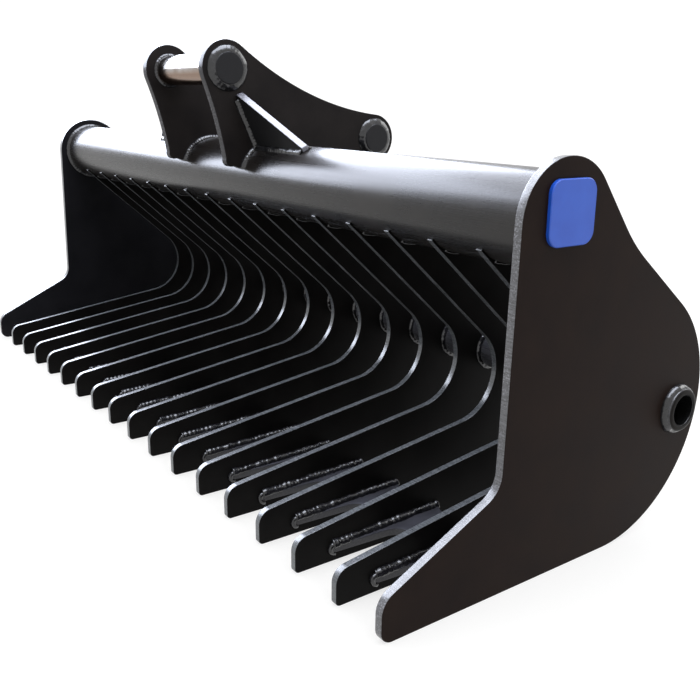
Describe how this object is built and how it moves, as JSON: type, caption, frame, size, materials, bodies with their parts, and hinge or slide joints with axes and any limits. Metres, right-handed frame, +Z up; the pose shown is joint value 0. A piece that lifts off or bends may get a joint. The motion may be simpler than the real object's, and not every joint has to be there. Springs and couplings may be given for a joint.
{
  "type": "skeleton excavator bucket",
  "caption": "Welded skeleton bucket for an excavator: C-shaped tines between two side plates, with hitch ears and pins on a torque tube, for sifting stones from soil.",
  "frame": {"origin": "on the flat bottom, under the middle of the bucket's box", "axes": "+X along the torque tube towards the bucket's right side plate, which carries the badge; +Y to the rear; +Z up"},
  "size_m": [1.524, 0.55, 0.649],
  "materials": {
    "painted_plate": "satin",
    "painted_tube": "gloss",
    "pin_steel": "polished",
    "badge_paint": "satin"
  },
  "bodies": {
    "root": {"side_plate_left": "painted_plate", "side_plate_right": "painted_plate", "hitch_ear_left": "painted_plate", "hitch_ear_right": "painted_plate", "ear_gusset_left": "painted_plate", "ear_gusset_right": "painted_plate", "tine_01": "painted_plate", "tine_02": "painted_plate", "tine_03": "painted_plate", "tine_04": "painted_plate", "tine_05": "painted_plate", "tine_06": "painted_plate", "tine_07": "painted_plate", "tine_08": "painted_plate", "tine_09": "painted_plate", "tine_10": "painted_plate", "tine_11": "painted_plate", "tine_12": "painted_plate", "tine_13": "painted_plate", "tine_14": "painted_plate", "tine_15": "painted_plate", "tine_16": "painted_plate", "spacer_01": "painted_plate", "spacer_02": "painted_plate", "spacer_03": "painted_plate", "spacer_04": "painted_plate", "spacer_05": "painted_plate", "spacer_06": "painted_plate", "spacer_07": "painted_plate", "spacer_08": "painted_plate", "spacer_09": "painted_plate", "spacer_10": "painted_plate", "spacer_11": "painted_plate", "spacer_12": "painted_plate", "spacer_13": "painted_plate", "spacer_14": "painted_plate", "spacer_15": "painted_plate", "spacer_16": "painted_plate", "spacer_17": "painted_plate", "torque_tube": "painted_tube", "rear_cross_tube": "painted_tube", "front_pin": "pin_steel", "rear_pin": "pin_steel", "badge_plate": "badge_paint"}
  },
  "joints": []
}
